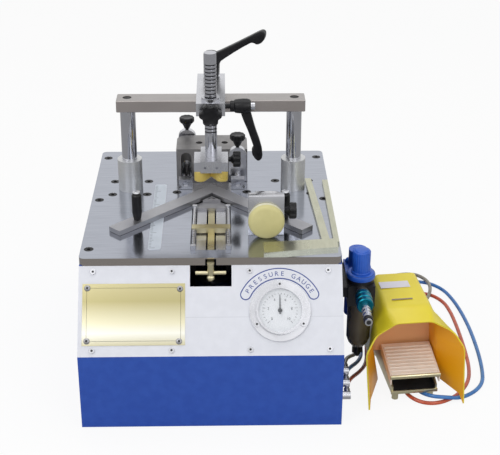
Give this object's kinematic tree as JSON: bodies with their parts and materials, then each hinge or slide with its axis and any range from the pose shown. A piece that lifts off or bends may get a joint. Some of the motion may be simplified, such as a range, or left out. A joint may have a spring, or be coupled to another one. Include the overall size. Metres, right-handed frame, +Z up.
{
  "type": "picture frame underpinner",
  "caption": "Bench press that drives V nails up into mitred frame corners, with a sliding V fence, a pull-down clamping bridge, an air set and a guarded foot valve on loose hoses.",
  "frame": {"origin": "centre of the cabinet's underside, on the floor plane", "axes": "+X to the operator's right, the longest extent; +Y from the operator to the back; +Z up"},
  "size_m": [0.6208, 0.48, 0.4834],
  "materials": {
    "cabinet_blue": "satin powder coat",
    "panel_cream": "satin powder coat",
    "ground_steel": "ground, lightly reflective",
    "black_steel": "black oxide, satin",
    "zinc_steel": "bright zinc plate",
    "grey_casting": "machined casting, satin",
    "sleeve_aluminium": "turned, satin",
    "chrome_bar": "hard chrome",
    "bronze": "machined",
    "black_plastic": "moulded, fine texture",
    "amber_pad": "translucent cast polyurethane",
    "cream_pad": "cast polyurethane, matt",
    "guard_yellow": "gloss enamel",
    "treadle_alloy": "ribbed casting, satin",
    "blue_hose": "polyurethane tube",
    "orange_hose": "polyurethane tube",
    "grey_hose": "polyurethane tube",
    "smoky_bowl": "smoky polycarbonate",
    "regulator_blue": "moulded",
    "teal_anodised": "anodised, knurled",
    "dial_white": "printed plate",
    "needle_black": "satin",
    "lens_clear": "clear",
    "spring_steel": "bright wire"
  },
  "bodies": {
    "base": {"cabinet_shell": "cabinet_blue", "front_panel": "panel_cream", "table_plate": "ground_steel", "table_screws": "black_steel", "panel_screws": "zinc_steel", "gauge_case": "black_steel", "gauge_dial": "dial_white", "gauge_lens": "lens_clear", "magazine_rails": "black_steel", "magazine_guides": "zinc_steel", "nail_head": "ground_steel", "rear_bridge": "grey_casting", "bronze_bushes": "bronze", "column_housings": "sleeve_aluminium", "air_cylinders": "sleeve_aluminium", "air_bracket": "black_steel", "regulator_body": "black_plastic", "filter_bowl": "smoky_bowl", "lubricator_body": "regulator_blue", "coupler_socket": "zinc_steel", "pedal_guard": "guard_yellow", "pedal_base": "zinc_steel", "foot_valve": "sleeve_aluminium", "hose_fittings": "zinc_steel", "grey_hose": "grey_hose", "blue_hose": "blue_hose", "orange_hose": "orange_hose", "spare_holder": "zinc_steel", "spare_pad": "cream_pad", "nail_guides": "zinc_steel"},
    "press_bridge": {"crossbar": "ground_steel", "columns": "chrome_bar", "bridge_screws": "black_steel", "lower_yoke": "zinc_steel"},
    "clamp_arm": {"clamp_arm": "ground_steel"},
    "height_rod": {"press_rod": "chrome_bar", "pad_holder": "zinc_steel", "press_pad": "amber_pad"},
    "top_lever": {"top_lever": "black_plastic"},
    "side_lever": {"side_lever": "black_plastic"},
    "front_knob": {"front_knob": "black_plastic"},
    "pad_knob": {"pad_knob": "black_plastic"},
    "fence": {"v_fence": "ground_steel", "fence_handles": "black_plastic", "fence_carriage": "ground_steel", "guide_shafts": "chrome_bar"},
    "right_stop": {"right_stop": "zinc_steel"},
    "left_stop": {"left_stop": "zinc_steel"},
    "right_stop_knob": {"right_stop_knob": "black_plastic"},
    "left_stop_knob": {"left_stop_knob": "black_plastic"},
    "pusher": {"pusher_bar": "zinc_steel", "pull_handle": "black_steel", "pusher_springs": "spring_steel"},
    "driver": {"driver_piston": "zinc_steel"},
    "regulator_knob": {"regulator_knob": "regulator_blue"},
    "coupler_sleeve": {"coupler_sleeve": "teal_anodised"},
    "gauge_needle": {"gauge_needle": "needle_black"},
    "treadle": {"treadle": "treadle_alloy"},
    "valve_plunger": {"valve_plunger": "zinc_steel"},
    "drain_cock": {"drain_cock": "black_plastic"}
  },
  "joints": [
    {"name": "press_stroke", "type": "slide", "parent": "base", "child": "press_bridge", "axis": [0, 0, 1], "range_m": [-0.03, 0], "stiffness_N_per_m": 5000, "springref_m": 0.03},
    {"name": "arm_reach", "type": "slide", "parent": "press_bridge", "child": "clamp_arm", "axis": [0, 1, 0], "range_m": [-0.03, 0]},
    {"name": "rod_height", "type": "slide", "parent": "clamp_arm", "child": "height_rod", "axis": [0, 0, 1], "range_m": [-0.005, 0.05]},
    {"name": "top_lever_turn", "type": "hinge", "parent": "clamp_arm", "child": "top_lever", "pos_m": [0, 0.162, 0.42], "axis": [0, 0, 1], "range_deg": [-45, 90]},
    {"name": "side_lever_turn", "type": "hinge", "parent": "clamp_arm", "child": "side_lever", "pos_m": [0.046, 0.049, 0.39], "axis": [-1, 0, 0], "range_deg": [-10, 90]},
    {"name": "front_knob_turn", "type": "hinge", "parent": "clamp_arm", "child": "front_knob", "pos_m": [0, 0.022, 0.387], "axis": [0, -1, 0], "range_deg": [-180, 180]},
    {"name": "pad_knob_turn", "type": "hinge", "parent": "height_rod", "child": "pad_knob", "pos_m": [0.038, 0.036, 0.307], "axis": [1, 0, 0], "range_deg": [-180, 180]},
    {"name": "fence_travel", "type": "slide", "parent": "base", "child": "fence", "axis": [0, 1, 0], "range_m": [-0.0027, 0.0027]},
    {"name": "right_stop_setting", "type": "slide", "parent": "fence", "child": "right_stop", "axis": [0, 1, 0], "range_m": [-0.01, 0]},
    {"name": "left_stop_setting", "type": "slide", "parent": "fence", "child": "left_stop", "axis": [0, 1, 0], "range_m": [0, 0.01]},
    {"name": "right_thumb_turn", "type": "hinge", "parent": "right_stop", "child": "right_stop_knob", "pos_m": [0.042, 0.1145, 0.308], "axis": [0, 0, 1], "range_deg": [-180, 180]},
    {"name": "left_thumb_turn", "type": "hinge", "parent": "left_stop", "child": "left_stop_knob", "pos_m": [-0.042, 0.1935, 0.308], "axis": [0, 0, 1], "range_deg": [-180, 180]},
    {"name": "pusher_pull", "type": "slide", "parent": "base", "child": "pusher", "axis": [0, 1, 0], "range_m": [-0.04, 0], "stiffness_N_per_m": 120, "springref_m": 0.04, "deforming": ["pusher_springs"]},
    {"name": "driver_stroke", "type": "slide", "parent": "base", "child": "driver", "axis": [0, 0, 1], "range_m": [0, 0.0125], "stiffness_N_per_m": 1500, "springref_m": -0.01},
    {"name": "regulator_turn", "type": "hinge", "parent": "base", "child": "regulator_knob", "pos_m": [0.223, -0.12, 0.21], "axis": [0, 0, 1], "range_deg": [-180, 180]},
    {"name": "coupler_release", "type": "slide", "parent": "base", "child": "coupler_sleeve", "axis": [0, 1, 0], "range_m": [0, 0.0035], "stiffness_N_per_m": 600, "springref_m": -0.003},
    {"name": "needle_turn", "type": "hinge", "parent": "base", "child": "gauge_needle", "pos_m": [0.099, -0.20098, 0.17073], "axis": [0, -0.7926, 0.6097], "range_deg": [-135, 135]},
    {"name": "treadle_press", "type": "hinge", "parent": "base", "child": "treadle", "pos_m": [0.29822, -0.11355, 0.05], "axis": [0.9945, 0.1045, 0], "range_deg": [0, 12], "stiffness_Nm_per_rad": 2.5, "springref_deg": -11.46},
    {"name": "plunger_press", "type": "slide", "parent": "base", "child": "valve_plunger", "axis": [-0.1045, 0.9945, 0], "range_m": [0, 0.0026]},
    {"name": "drain_turn", "type": "hinge", "parent": "base", "child": "drain_cock", "pos_m": [0.223, -0.12, 0.05], "axis": [0, 0, 1], "range_deg": [-90, 90]}
  ],
  "couplings": [
    {"joint": "plunger_press", "follows": "treadle_press", "m_per_rad": 0.012}
  ]
}
